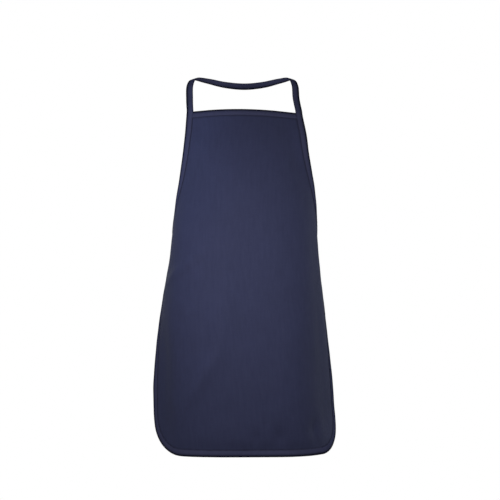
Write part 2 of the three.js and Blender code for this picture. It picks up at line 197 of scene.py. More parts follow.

# Finishes: weave and relief in metres, depth of the painted shade along seams and fold rims, and plain shader
# values.
# The tape has no gloss, so its colour is made paler than the colour that it shows: painted sheen in place of
# the gloss.
TWILL = {"pitch": 0.0011, "slant": 1.0, "painted_shade_depth": 0.32, "relief": 0.00025, "sheen": 0.1, "gloss": 0.45}
BINDING = {"pitch": 0.0008, "slant": 0.0, "painted_shade_depth": 0.8, "relief": 0.0002, "sheen": 0.0, "gloss": 0.0}
PAINTED_SHEEN_GAIN = (1.47, 1.36, 1.22)

# Soft lights round the middle of the apron: turn and rise in degrees seen from the front, distance and width
# in metres, strength as the light that white paper at the middle would send back, and colour
LIGHTS_AIM = (0.0, -0.2, -0.42)
LIGHTS = (
    ("front_light", -12, 5, 0.65, 0.3, 0.65, (1.0, 1.0, 1.0)),
    ("left_light", -85, 40, 0.65, 0.3, 0.188, (0.585, 0.72, 1.0)),
    ("right_light", 85, 20, 2.0, 0.9, 0.165, (0.84, 0.9, 1.0)),
    ("rim_light", 125, 5, 1.5, 0.6, 0.125, (0.8, 0.87, 1.0)),
    ("back_light", 180, 30, 2.2, 1.2, 0.8, (1.0, 1.0, 1.0)),
)

# Even light from all sides, and the round floor: its reach in metres, its sides and its own glow
ROOM_LIGHT = 0.12
FLOOR_REACH = 2.2
FLOOR_SIDES = 96
FLOOR_GLOW = 0.6


class ApronCut(bpy.types.PropertyGroup):
    """Sizes that the cloth and tape are cut to"""

    panel_length: FloatProperty(
        name="Panel length", description="Bib's top edge to hem", default=0.762, min=0.4, unit="LENGTH")
    panel_width: FloatProperty(
        name="Panel width", description="Width of the skirt, cut flat", default=0.508, min=0.3, unit="LENGTH")
    bib_width: FloatProperty(
        name="Bib width", description="Width of the bib's top edge", default=0.262, min=0.1, unit="LENGTH")
    armhole_depth: FloatProperty(
        name="Armhole depth", description="Bib's top edge to the waist corner",
        default=0.29, min=0.1, unit="LENGTH")
    corner_radius: FloatProperty(
        name="Hem corner", description="Radius of the two hem corners",
        default=0.092, min=0.02, unit="LENGTH")
    cloth_thickness: FloatProperty(
        name="Cloth thickness", description="Thickness of the twill",
        default=0.0008, min=0.0002, unit="LENGTH")
    tape_width: FloatProperty(
        name="Tape width", description="Width of the folded tape", default=0.0159, min=0.01, unit="LENGTH")


class ApronSewing(bpy.types.PropertyGroup):
    """Sizes of the stitching"""

    stitch_length: FloatProperty(
        name="Stitch length", description="Length of one stitch", default=0.0025, min=0.001, unit="LENGTH")
    stitch_pitch: FloatProperty(
        name="Stitch pitch", description="From one stitch to the next",
        default=0.0031, min=0.001, unit="LENGTH")
    thread_width: FloatProperty(
        name="Thread width", description="Thickness of the thread",
        default=0.00055, min=0.0002, unit="LENGTH")


class ApronColours(bpy.types.PropertyGroup):
    """Colours of the cloth, tape and thread"""

    cloth: FloatVectorProperty(
        name="Cloth", description="Navy twill", subtype="COLOR",
        default=SLOT_COLOURS["cloth"], min=0, max=1)
    tape: FloatVectorProperty(
        name="Tape", description="Navy binding tape", subtype="COLOR",
        default=SLOT_COLOURS["tape"], min=0, max=1)
    thread: FloatVectorProperty(
        name="Thread", description="Navy sewing thread", subtype="COLOR",
        default=(0.02, 0.022, 0.042), min=0, max=1)


class ApronStage(bpy.types.PropertyGroup):
    """Camera and floor of the studio"""

    camera_distance: FloatProperty(
        name="Camera distance", description="Camera to the nape", default=2.91, min=1, unit="LENGTH")
    camera_height: FloatProperty(
        name="Camera height", description="Camera above the nape", default=-0.378, unit="LENGTH")
    camera_aside: FloatProperty(
        name="Camera aside", description="Camera to the right of the nape", default=0.013, unit="LENGTH")
    lens: FloatProperty(
        name="Lens", description="Focal length in millimetres on a 36 mm frame", default=90.38, min=20)
    floor_drop: FloatProperty(
        name="Floor drop", description="Floor below the nape", default=1.45, min=0.9, unit="LENGTH")


def eased(share):
    """Share from nought to one that starts and ends gently."""
    return share * share * (3 - 2 * share)


def smooth_at(stations, values, place):
    """Smooth curve through the values at the stations, or one curve for each column of values."""
    stations = np.asarray(stations, float)
    values = np.asarray(values, float)
    place = np.asarray(place, float)
    last = len(stations) - 1
    before = np.maximum(np.arange(last + 1) - 1, 0)
    after = np.minimum(np.arange(last + 1) + 1, last)
    columns = (slice(None),) + (None,) * (values.ndim - 1)
    slopes = (values[after] - values[before]) / (stations[after] - stations[before])[columns]
    k = np.searchsorted(stations[1:-1], place, side="left")
    span = (stations[k + 1] - stations[k])[columns]
    t = (place - stations[k])[columns] / span
    ease = eased(t)
    leave = t * (1 - t) ** 2 * span * slopes[k]
    arrive = t * t * (t - 1) * span * slopes[k + 1]
    return values[k] * (1 - ease) + values[k + 1] * ease + leave + arrive


def unit(vectors):
    """Vectors of length one."""
    return vectors / np.linalg.norm(vectors, axis=-1, keepdims=True)


def running_length(points):
    """Distance along a line of points."""
    return np.concatenate([[0.0], np.cumsum(np.linalg.norm(np.diff(points, axis=0), axis=1))])


def relief(across, down):
    """Height of the folds and of the faint unevenness above the smooth drape."""
    height = np.zeros(np.broadcast(across, down).shape)
    for crest, level, slant, half_width, half_length, rise in FOLDS:
        aside = (across - crest - slant * (down - level)) / half_width
        along = (down - level) / half_length
        height += rise * np.exp(-aside ** 2 - along ** 2)
    for length, direction, phase, rise in RIPPLES:
        angle = math.radians(direction)
        along = across * math.cos(angle) + down * math.sin(angle)
        height += rise * np.sin(2 * math.pi * along / length + phase)
    return height


class WornCloth:
    """Middle surface of the worn panel, looked up by distance across from its centre line and down."""

    def __init__(self):
        self.down = np.arange(LATTICE_TOP, LATTICE_BOTTOM, LATTICE_STEP)
        self.across = np.arange(-LATTICE_REACH, LATTICE_REACH + 1.0)
        level, *centre, right, left = zip(*LEVELS)
        forward, aside, dip, tilt = smooth_at(level, np.stack(centre, -1), self.down).T
        fall = np.sqrt(LATTICE_STEP ** 2 - np.diff(forward) ** 2)
        fallen = np.concatenate([[0.0], np.cumsum(fall)])
        height = BIB_TOP_HEIGHT - (fallen - np.interp(0, self.down, fallen))

        reach = np.arange(LATTICE_REACH + 1.0)
        outs, backs, facings = [], [], []
        for side in (left, right):
            turns = np.radians(smooth_at(level, side, self.down)).T
            between = smooth_at(TURN_STATIONS, turns, reach[:-1] + 0.5)
            start = np.zeros((1, len(self.down)))
            outs.append(np.vstack([start, np.cumsum(np.cos(between), axis=0)]))
            backs.append(np.vstack([start, np.cumsum(np.sin(between), axis=0)]))
            facings.append(smooth_at(TURN_STATIONS, turns, reach))
        out = np.vstack([-outs[0][:0:-1], outs[1]])
        back = np.vstack([backs[0][:0:-1], backs[1]])
        facing = np.vstack([-facings[0][:0:-1], facings[1]])
        fold = relief(self.across[:, None], self.down[None, :])
        share = self.across[:, None] / DIP_REACH
        lower = dip * share ** 2 + tilt * share
        self.points = np.stack([
            aside + out + fold * np.sin(facing),
            back - forward - fold * np.cos(facing),
            height - lower,
        ], axis=-1)
        along_down = np.gradient(self.points, self.down, axis=1)
        along_across = np.gradient(self.points, self.across, axis=0)
        self.normals = unit(np.cross(along_down, along_across))

    def at(self, across, down, margin=1.001):
        """Points and outward normals at flat places, which a margin keeps inside the grid's last cell."""
        x = np.clip(np.asarray(across, float) + LATTICE_REACH, 0, len(self.across) - margin)
        y = np.clip((np.asarray(down, float) - LATTICE_TOP) / LATTICE_STEP, 0, len(self.down) - margin)
        x, y = np.broadcast_arrays(x, y)
        i = x.astype(int)
        j = y.astype(int)
        u = (x - i)[..., None]
        w = (y - j)[..., None]

        def looked_up(table):
            near = table[i, j] * (1 - u) + table[i + 1, j] * u
            far = table[i, j + 1] * (1 - u) + table[i + 1, j + 1] * u
            return near * (1 - w) + far * w

        return looked_up(self.points), unit(looked_up(self.normals))


class FlatCut:
    """Outline of the flat panel in millimetres, and the runs of its edges that tape is folded over.

    A run is the line of the cut edge and the line of the tape's sewn edge, point by point.
    """

    def __init__(self, sizes):
        self.length = sizes.panel_length / MM
        self.half = sizes.panel_width / MM / 2
        self.half_bib = sizes.bib_width / MM / 2
        self.armhole = sizes.armhole_depth / MM
        self.radius = sizes.corner_radius / MM
        self.inset = sizes.tape_width / MM - FOLD_BEYOND
        self.hollow = (self.half_bib + HOLLOW_OUT, self.armhole * HOLLOW_SHARE)
        self.corner = (self.half - self.radius, self.length - self.radius)

    def armhole_edge(self, down):
        """Distance of the armhole's edge from the centre line, and its slope."""
        out, deep = self.hollow
        bend = 2 * deep - self.armhole
        t = (deep - np.sqrt(np.maximum(deep ** 2 - bend * down, 0))) / bend
        across = (1 - t) ** 2 * self.half_bib + 2 * t * (1 - t) * out + t ** 2 * self.half
        run = (1 - t) * (out - self.half_bib) + t * (self.half - out)
        fall = (1 - t) * deep + t * (self.armhole - deep)
        return across, run / fall

    def half_width(self, down):
        """Distance of the cut edge from the centre line."""
        down = np.asarray(down, float)
        armhole, _ = self.armhole_edge(np.minimum(down, self.armhole))
        past = np.clip(down - self.corner[1], 0, self.radius)
        corner = self.corner[0] + np.sqrt(self.radius ** 2 - past ** 2)
        return np.where(down < self.armhole, armhole, corner)

    def area(self, samples=4001):
        """Area of the cut in square metres."""
        return 2 * self.half_width(np.linspace(0, self.length, samples)).mean() * self.length * MM * MM

    def armhole_inner(self, down):
        """Distance of the armhole tape's sewn edge from the centre line."""
        edge, slope = self.armhole_edge(down)
        near_waist = np.clip((down - self.armhole + WAIST_EASE) / WAIST_EASE, 0, 1)
        return edge - self.inset * (np.hypot(1, slope) * (1 - near_waist) + near_waist)

    def seam_distance(self, across, down):
        """Rough distance of flat places from the nearest sewn edge of the tape, positive inside it."""
        across = np.abs(across)
        beside = np.clip(down, 0, self.armhole)
        _, slope = self.armhole_edge(beside)
        armhole = (self.armhole_inner(beside) - across) / np.hypot(1, slope)
        side = np.where(down < self.armhole, armhole, self.half - self.inset - across)
        in_corner = (across > self.corner[0]) & (down > self.corner[1])
        corner = self.radius - self.inset - np.hypot(across - self.corner[0], down - self.corner[1])
        side = np.where(in_corner, corner, side)
        hem = np.where(in_corner, corner, self.length - self.inset - down)
        return np.minimum(np.minimum(side, hem), down - self.inset)

    def top_run(self):
        """Run of the bib's top edge, between the armhole tapes."""
        share = np.linspace(-1, 1, int(2 * self.half_bib / TAPE_STEP))
        outer = np.stack([share * self.armhole_inner(0.0), 0 * share], -1)
        inner = np.stack([share * self.armhole_inner(self.inset), 0 * share + self.inset], -1)
        return outer, inner

    def armhole_run(self, side, stretch=1.1):
        """Run of one armhole, from the bib's corner to the waist, longer than deep by the stretch."""
        down = np.linspace(0, self.armhole, int(stretch * self.armhole / TAPE_STEP))
        edge, _ = self.armhole_edge(down)
        return np.stack([side * edge, down], -1), np.stack([side * self.armhole_inner(down), down], -1)

    def hem_run(self, side_points=169, corner_points=66):
        """Run of both sides, the two corners and the hem, from waist to waist."""
        straight = np.linspace(self.armhole, self.corner[1], side_points)
        turn = np.linspace(0, math.pi / 2, corner_points)[1:]
        along = np.linspace(self.corner[0], 0, int(self.corner[0] / TAPE_STEP))[1:]

        def half_run(inset):
            side = np.stack([0 * straight + self.half - inset, straight], -1)
            corner = np.stack([np.cos(turn), np.sin(turn)], -1) * (self.radius - inset) + self.corner
            hem = np.stack([along, 0 * along + self.length - inset], -1)
            half = np.vstack([side, corner, hem])
            return np.vstack([half, half[-2::-1] * (-1, 1)])

        return half_run(0.0), half_run(self.inset)


def tape_section(inside):
    """Closed section of folded tape: distances from its sewn edge, and heights for each opening in inside."""
    inside = inside[:, None]
    from_edge, ply = np.array(PLY_PROFILE).T
    angles = np.radians(FOLD_ANGLES)
    front = inside + ply
    fold = (inside + ply[-1]) * np.sin(angles)
    back = -front[:, ::-1]
    face = np.repeat(inside, len(INNER_FACE), axis=1)
    inner = np.hstack([-face, 0 * inside, face])
    distance = np.concatenate([
        from_edge, FOLD_START + FOLD_REACH * np.cos(angles), from_edge[::-1],
        INNER_FACE, [INNER_FOLD], INNER_FACE[::-1]])
    return distance, np.hstack([front, fold, back, inner])


def puckered_section(inside, run, fullness):
    """Section of folded tape that is fuller and flatter by turns along a run."""
    drifting = np.sin(run / DRIFT_LENGTH)
    puckers = sum(
        share * np.sin(2 * math.pi * run / length + phase + drift * drifting)
        for length, phase, drift, share in PUCKERS)
    distance, height = tape_section(inside)
    swell = 1 + fullness * puckers[:, None] * np.sin(np.pi * np.clip(distance / FOLD_START, 0, 1))
    least = inside[:, None] * (height != 0)
    return distance, np.sign(height) * np.maximum(np.abs(height) * swell, least)


def painted_shade_mask(distance, sharpness=6):
    """Painted shade: SEWN_DEPTH along the sewn edge of the folded tape, one along its fold, nothing between.
    """
    sewn = SEWN_DEPTH / (1 + (distance / SEAM_WIDTH) ** sharpness)
    return sewn + np.clip((distance - RIM_START) / (RIM_FULL - RIM_START), 0, 1)


def make_piece(name, points, faces, material, uvs, painted_shade, smooth_limit=55):
    """Plain mesh object from points in millimetres, with a cloth UV map and a mask of painted shade along
    seams and fold rims.
    """
    mesh = bpy.data.meshes.new(name)
    mesh.from_pydata((np.asarray(points) * MM).tolist(), [], faces)
    mesh.materials.append(material)
    layer = mesh.uv_layers.new(name="cloth")
    corners = np.empty(len(mesh.loops), int)
    mesh.loops.foreach_get("vertex_index", corners)
    layer.data.foreach_set("uv", (np.asarray(uvs) * MM)[corners].astype(np.float32).ravel())
    # Mask of painted shade along the seams and the fold rims
    mask = mesh.attributes.new("painted_shade", "FLOAT", "POINT")
    mask.data.foreach_set("value", np.asarray(painted_shade, np.float32))
    mesh.shade_smooth()
    mesh.set_sharp_from_angle(angle=math.radians(smooth_limit))
    mesh.validate()
    return linked(name, mesh)


def linked(name, data):
    """New object in the scene."""
    made = bpy.data.objects.new(name, data)
    bpy.context.scene.collection.objects.link(made)
    return made


def sweep_faces(sections, first=0, closed=False):
    """Outward faces round and along sections of one size, with lids unless the sweep is closed."""
    count, size = sections.shape[:2]
    points = sections.reshape(-1, 3)
    ring = np.arange(size)
    following = np.roll(ring, -1)
    start = (np.arange(count if closed else count - 1) * size)[:, None]
    ahead = (start + size) % len(points)
    quads = np.stack([start + ring, start + following, ahead + following, ahead + ring], -1).reshape(-1, 4)
    corners = points[quads]
    areas = np.cross(corners[:, 2] - corners[:, 0], corners[:, 3] - corners[:, 1])
    inside_out = np.einsum("ij,ij->", corners.mean(1) - points.mean(0), areas) < 0
    faces = (first + quads).tolist()
    if not closed:
        faces += [(first + ring[::-1]).tolist(), (first + ring + (count - 1) * size).tolist()]
    return [face[::-1] for face in faces] if inside_out else faces


def tape_piece(name, sections, along, distance, material):
    """Folded tape through its sections."""
    around = np.cumsum(np.abs(np.diff(distance, prepend=0)))
    uvs = np.stack(np.broadcast_arrays(along[:, None], around), -1).reshape(-1, 2)
    # Painted shade along the sewn edge and on the fold rim
    painted_shade = np.broadcast_to(painted_shade_mask(distance), sections.shape[:2]).ravel()
    return make_piece(name, sections.reshape(-1, 3), sweep_faces(sections), material, uvs, painted_shade)


def bound_edge(name, cloth, cut, run, material, way_out_share=0.9):
    """Tape folded over a run of the panel's edge, and its two rows of stitches."""
    outer, inner = run
    edge, _ = cloth.at(*outer.T)
    along = running_length(edge)
    distance, height = puckered_section(np.full(len(outer), BOUND_INSIDE), along, BOUND_FULLNESS)
    share = np.minimum(distance, cut.inset) / cut.inset
    flat = inner[:, None] + (outer - inner)[:, None] * share[:, None]
    base, normal = cloth.at(flat[..., 0], flat[..., 1])
    near_edge, _ = cloth.at(*(inner + way_out_share * (outer - inner)).T)
    way_out = unit(edge - near_edge)
    beyond = np.maximum(distance - cut.inset, 0)
    sections = base + way_out[:, None] * beyond[:, None] + normal * height[..., None]
    piece = tape_piece(name, sections, along, distance, material)
    sewn, facing = cloth.at(*(inner + (outer - inner) * STITCH_INSET / cut.inset).T)
    lift = facing * (BOUND_INSIDE + STITCH_SEAT)
    return piece, [(sewn + lift, facing), (sewn - lift, -facing)]


def free_tape(name, path, facing, width, material, inside):
    """Folded tape along a path of its middle line, and its two rows of stitches."""
    along = running_length(path)
    forwards = unit(np.gradient(path, along, axis=0))
    across = unit(np.cross(forwards, facing))
    normal = unit(np.cross(across, forwards))
    distance, height = puckered_section(inside, along + PLAIN_PUCKER_START, PLAIN_FULLNESS)
    reach = width / 2 - distance
    sections = path[:, None] + across[:, None] * reach[:, None] + normal[:, None] * height[..., None]
    piece = tape_piece(name, sections, along, distance, material)
    sewn = path + across * (width / 2 - STITCH_INSET)
    lift = normal * (inside + STITCH_SEAT)[:, None]
    return piece, [(sewn + lift, normal), (sewn - lift, -normal)]


def smooth_route(points, fineness=60):
    """Points at even steps along a smooth route through the given ones, with the route's own parameter."""
    points = np.asarray(points, float)
    ends = np.vstack([2 * points[0] - points[1], points, 2 * points[-1] - points[-2]])
    gaps = np.sqrt(np.linalg.norm(np.diff(ends, axis=0), axis=1))
    fine = np.linspace(0, len(points) - 1, fineness * len(points))
    k = np.minimum(fine.astype(int), len(points) - 2)
    t = (fine - k)[:, None]
    before, start, end, after = (ends[k + i] for i in range(4))
    gap0, gap1, gap2 = (gaps[k + i][:, None] for i in range(3))
    leave = ((start - before) / gap0 - (end - before) / (gap0 + gap1) + (end - start) / gap1) * gap1
    arrive = ((end - start) / gap1 - (after - start) / (gap1 + gap2) + (after - end) / gap2) * gap1
    line = (start + leave * t + (3 * (end - start) - 2 * leave - arrive) * t ** 2
            + (2 * (start - end) + leave + arrive) * t ** 3)
    length = running_length(line)
    places = np.linspace(0, length[-1], max(2, int(round(length[-1] / TAPE_STEP)) + 1))
    route = np.stack([np.interp(places, length, line[:, i]) for i in range(3)], -1)
    return route, np.interp(places, length, fine)


def along_route(rows, parameter):
    """Rows given at the route's points, at the route's finer parameters."""
    return smooth_at(np.arange(len(rows)), rows, parameter)


def feed(tree, node, inputs):
    """Set a node's inputs to plain values, or link them to the sockets given."""
    for socket, value in inputs.items():
        if isinstance(value, bpy.types.NodeSocket):
            tree.links.new(value, node.inputs[socket])
        else:
            node.inputs[socket].default_value = value


def node_of(tree, kind, inputs=None, **settings):
    """New node with its settings and inputs."""
    node = tree.nodes.new(kind)
    for key, value in settings.items():
        setattr(node, key, value)
    feed(tree, node, inputs or {})
    return node


def math_node(tree, operation, *values):
    """Result of a math node on sockets or plain numbers."""
    return node_of(tree, "ShaderNodeMath", dict(enumerate(values)), operation=operation).outputs[0]


def scaled_colour(tree, colour, share):
    """Colour times a share that changes over the surface."""
    return node_of(tree, "ShaderNodeVectorMath", {0: colour, "Scale": share}, operation="SCALE").outputs[0]


def new_group(name, inputs, outputs):
    """Empty shader node group with sockets of their values' kinds, its input sockets and its output node."""
    group = bpy.data.node_groups.new(name, "ShaderNodeTree")
    kinds = {1: "NodeSocketFloat", 3: "NodeSocketVector", 4: "NodeSocketColor"}
    for in_out, values in (("INPUT", inputs), ("OUTPUT", outputs)):
        for label, value in values.items():
            socket = group.interface.new_socket(label, in_out=in_out, socket_type=kinds[np.size(value)])
            socket.default_value = value
    return group, node_of(group, "NodeGroupInput").outputs, node_of(group, "NodeGroupOutput")


def group_node(tree, name, make, inputs):
    """Outputs of a node for the named group, which is made on its first use."""
    group = bpy.data.node_groups.get(name) or make(name)
    return node_of(tree, "ShaderNodeGroup", inputs, node_tree=group).outputs


def weave_group(name, crossing_share=0.4, relief_share=0.25):
    """Raised lines of the weave, and the yarns' uneven tone, over a flat place in metres."""
    group, given, result = new_group(
        name, {"Place": (0, 0, 0), "Pitch": 0.0009, "Slant": 1.0}, {"Height": 0.0, "Tone": 0.0})
    apart = node_of(group, "ShaderNodeSeparateXYZ", {0: given["Place"]}).outputs
    across, down = (math_node(group, "DIVIDE", apart[axis], given["Pitch"]) for axis in range(2))
    slanted = math_node(group, "ADD", across, math_node(group, "MULTIPLY", down, given["Slant"]))
    ridge, crossing = (
        math_node(group, "SINE", math_node(group, "MULTIPLY", turns, 2 * math.pi))
        for turns in (slanted, down))
    woven = math_node(group, "ADD", ridge, math_node(group, "MULTIPLY", crossing, crossing_share))
    tone = 0.0
    for stretch, scale, share in YARNS:
        mapped = node_of(group, "ShaderNodeMapping", {"Vector": given["Place"], "Scale": stretch}).outputs[0]
        noise = node_of(
            group, "ShaderNodeTexNoise", {"Vector": mapped, "Scale": scale, "Detail": 3.0, "Roughness": 0.6})
        tone = math_node(group, "ADD", tone, math_node(group, "MULTIPLY", noise.outputs[0], share))
    height = math_node(group, "ADD", math_node(group, "MULTIPLY", woven, relief_share), tone)
    feed(group, result, {"Height": height, "Tone": tone})
    return group


def dye_group(name, middle_tone=0.5):
    """Cloth colour with slow changes of depth over the piece and quick ones from yarn to yarn."""
    group, given, result = new_group(
        name,
        {"Colour": (0, 0, 0, 1), "Place": (0, 0, 0), "Tone": 0.5, "Clouding": 0.1, "Yarns": 0.2},
        {"Colour": (0, 0, 0, 1)})
    noise = node_of(group, "ShaderNodeTexNoise", {
        "Vector": given["Place"], "Scale": 9.0, "Detail": 7.0, "Roughness": 0.75})
    depth = 1.0
    for value, strength in ((noise.outputs[0], given["Clouding"]), (given["Tone"], given["Yarns"])):
        change = math_node(group, "MULTIPLY", math_node(group, "SUBTRACT", value, middle_tone), strength)
        depth = math_node(group, "ADD", change, depth)
    feed(group, result, {"Colour": scaled_colour(group, given["Colour"], depth)})
    return group


def painted_shade_group(name):
    """Painted shade: colour made darker along the seams, where the stitches draw the cloth in, and along the
    fold rims.
    """
    group, given, result = new_group(
        name, {"Colour": (0, 0, 0, 1), "Seam": 0.0, "Depth": 0.4}, {"Colour": (0, 0, 0, 1)})
    kept = math_node(group, "SUBTRACT", 1.0, math_node(group, "MULTIPLY", given["Seam"], given["Depth"]))
    feed(group, result, {"Colour": scaled_colour(group, given["Colour"], kept)})
    return group


def new_material(name):
    """New material, its node tree and its shader."""
    material = bpy.data.materials.new(name)
    material.use_nodes = True
    return material, material.node_tree, material.node_tree.nodes["Principled BSDF"]


def fabric(name, colour, finish):
    """Woven cloth material that follows the piece's cloth map and its mask of painted shade."""
    known = bpy.data.materials.get(name)
    if known:
        return known
    material, tree, shader = new_material(name)
    place = node_of(tree, "ShaderNodeUVMap", uv_map="cloth").outputs[0]
    painted_shade = node_of(tree, "ShaderNodeAttribute", attribute_name="painted_shade").outputs["Fac"]
    weave = group_node(
        tree, "weave", weave_group, {"Place": place, "Pitch": finish["pitch"], "Slant": finish["slant"]})
    dye = group_node(tree, "dye", dye_group, {
        "Colour": (*colour, 1.0), "Place": place, "Tone": weave["Tone"], "Clouding": 0.34, "Yarns": 0.42})
    # Painted shade along the seams and fold rims, darkening the dyed colour
    shade = group_node(
        tree, "seam_shade", painted_shade_group, {"Colour": dye["Colour"], "Seam": painted_shade, "Depth": finish["painted_shade_depth"]})
    rough = node_of(tree, "ShaderNodeMapRange", {
        "Value": weave["Tone"], "From Min": 0.3, "From Max": 0.7, "To Min": 0.9, "To Max": 0.8})
    bump = node_of(tree, "ShaderNodeBump", {
        "Height": weave["Height"], "Strength": 0.6, "Distance": finish["relief"]})
    feed(tree, shader, {
        "Base Color": shade["Colour"], "Roughness": rough.outputs[0], "Normal": bump.outputs[0],
        "Specular IOR Level": finish["gloss"], "Sheen Weight": finish["sheen"],
        "Sheen Roughness": 0.45, "Sheen Tint": (0.8, 0.82, 0.9, 1.0)})
    return material


def cloth_material(colours):
    """Navy twill of the panel."""
    return fabric("navy_twill", colours.cloth, TWILL)


def tape_material(colours):
    """Navy binding tape."""
    # Colour made paler by a gain: painted sheen in place of the gloss that the tape lacks
    colour_with_painted_sheen = [gain * level for gain, level in zip(PAINTED_SHEEN_GAIN, colours.tape)]
    return fabric("navy_tape", colour_with_painted_sheen, BINDING)


def thread_material(colours):
    """Navy sewing thread."""
    known = bpy.data.materials.get("navy_thread")
    if known:
        return known
    material, tree, shader = new_material("navy_thread")
    place = node_of(tree, "ShaderNodeTexCoord").outputs["Object"]
    dye = group_node(tree, "dye", dye_group, {
        "Colour": (*colours.thread, 1.0), "Place": place, "Clouding": 0.3, "Yarns": 0.0})
    feed(tree, shader, {"Base Color": dye["Colour"], "Roughness": 0.55, "Specular IOR Level": 0.35})
    return material


def stitch_tree():
    """Geometry nodes that lay one rounded stitch at every pitch along the sewing lines."""
    known = bpy.data.node_groups.get("stitch_rows")
    if known:
        return known
    tree = bpy.data.node_groups.new("stitch_rows", "GeometryNodeTree")
    for label, kind in (
            ("Lines", "NodeSocketGeometry"), ("Pitch", "NodeSocketFloat"), ("Size", "NodeSocketVector"),
            ("Thread", "NodeSocketMaterial")):
        tree.interface.new_socket(label, in_out="INPUT", socket_type=kind)
    tree.interface.new_socket("Stitches", in_out="OUTPUT", socket_type="NodeSocketGeometry")
    given = node_of(tree, "NodeGroupInput").outputs
    lines = node_of(tree, "GeometryNodeMeshToCurve", {"Mesh": given["Lines"]})
    even = node_of(
        tree, "GeometryNodeResampleCurve", {"Curve": lines.outputs["Curve"], "Length": given["Pitch"]},
        mode="LENGTH")
    tangent = node_of(tree, "GeometryNodeInputTangent")
    facing = node_of(tree, "GeometryNodeInputNamedAttribute", {"Name": "facing"}, data_type="FLOAT_VECTOR")
    turn = node_of(
        tree, "FunctionNodeAxesToRotation",
        {"Primary Axis": tangent.outputs["Tangent"], "Secondary Axis": facing.outputs["Attribute"]},
        primary_axis="X", secondary_axis="Z")
    stitch = node_of(tree, "GeometryNodeMeshUVSphere", {"Segments": 7, "Rings": 5, "Radius": 0.5})
    sized = node_of(tree, "GeometryNodeTransform", {
        "Geometry": stitch.outputs["Mesh"], "Scale": given["Size"]})
    uneven = node_of(
        tree, "FunctionNodeRandomValue", {"Min": (0.9, 0.9, 0.85), "Max": (1.08, 1.1, 1.1), "Seed": 7},
        data_type="FLOAT_VECTOR")
    laid = node_of(tree, "GeometryNodeInstanceOnPoints", {
        "Points": even.outputs["Curve"], "Instance": sized.outputs["Geometry"],
        "Rotation": turn.outputs["Rotation"], "Scale": uneven.outputs[0]})
    realized = node_of(tree, "GeometryNodeRealizeInstances", {"Geometry": laid.outputs["Instances"]})
    smooth = node_of(tree, "GeometryNodeSetShadeSmooth", {"Geometry": realized.outputs["Geometry"]})
    finish = node_of(tree, "GeometryNodeSetMaterial", {
        "Geometry": smooth.outputs["Geometry"], "Material": given["Thread"]})
    node_of(tree, "NodeGroupOutput", {"Stitches": finish.outputs["Geometry"]})
    return tree


def sewn_rows(name, rows, sewing, thread, flatness=0.8):
    """Stitches along the rows, flatter than wide, as one plain mesh piece."""
    points, facings, edges = [], [], []
    for line, facing in rows:
        first = len(points)
        points.extend((line * MM).tolist())
        facings.extend(facing.tolist())
        edges.extend((first + i, first + i + 1) for i in range(len(line) - 1))
    mesh = bpy.data.meshes.new(name + "_lines")
    mesh.from_pydata(points, edges, [])
    mesh.attributes.new("facing", "FLOAT_VECTOR", "POINT").data.foreach_set(
        "vector", np.asarray(facings, np.float32).ravel())
    lines = linked(name + "_lines", mesh)
    tree = stitch_tree()
    modifier = lines.modifiers.new("stitches", "NODES")
    modifier.node_group = tree
    values = {
        "Pitch": sewing.stitch_pitch,
        "Size": (sewing.stitch_length, sewing.thread_width, flatness * sewing.thread_width),
        "Thread": thread,
    }
    for item in tree.interface.items_tree:
        if item.in_out == "INPUT" and item.name in values:
            modifier[item.identifier] = values[item.name]
    evaluated = lines.evaluated_get(bpy.context.evaluated_depsgraph_get())
    made = bpy.data.meshes.new_from_object(evaluated)
    made.name = name
    bpy.data.objects.remove(lines)
    bpy.data.meshes.remove(mesh)
    if not made.polygons:
        raise RuntimeError(f"{name}: no stitches were made")
    return linked(name, made)


def fitted(piece, slot, *nodes):
    """Piece that moves with the apron and stands for the nodes."""
    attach(piece, "root")
    if nodes:
        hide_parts(*nodes)
    return piece


# What the operators hand on to each other: the worn surface, the pieces with their sizes, and the rows to sew
work = {"rows": {}}


def worn_cloth():
    """Worn surface, worked out on its first use."""
    if "cloth" not in work:
        work["cloth"] = WornCloth()
    return work["cloth"]


def tie_height(cut):
    """Height at which the ties run round the back."""
    corners, _ = worn_cloth().at(np.array([-cut.half, cut.half]), np.array([TIE_DOWN, TIE_DOWN]))
    return corners[:, 2].mean()


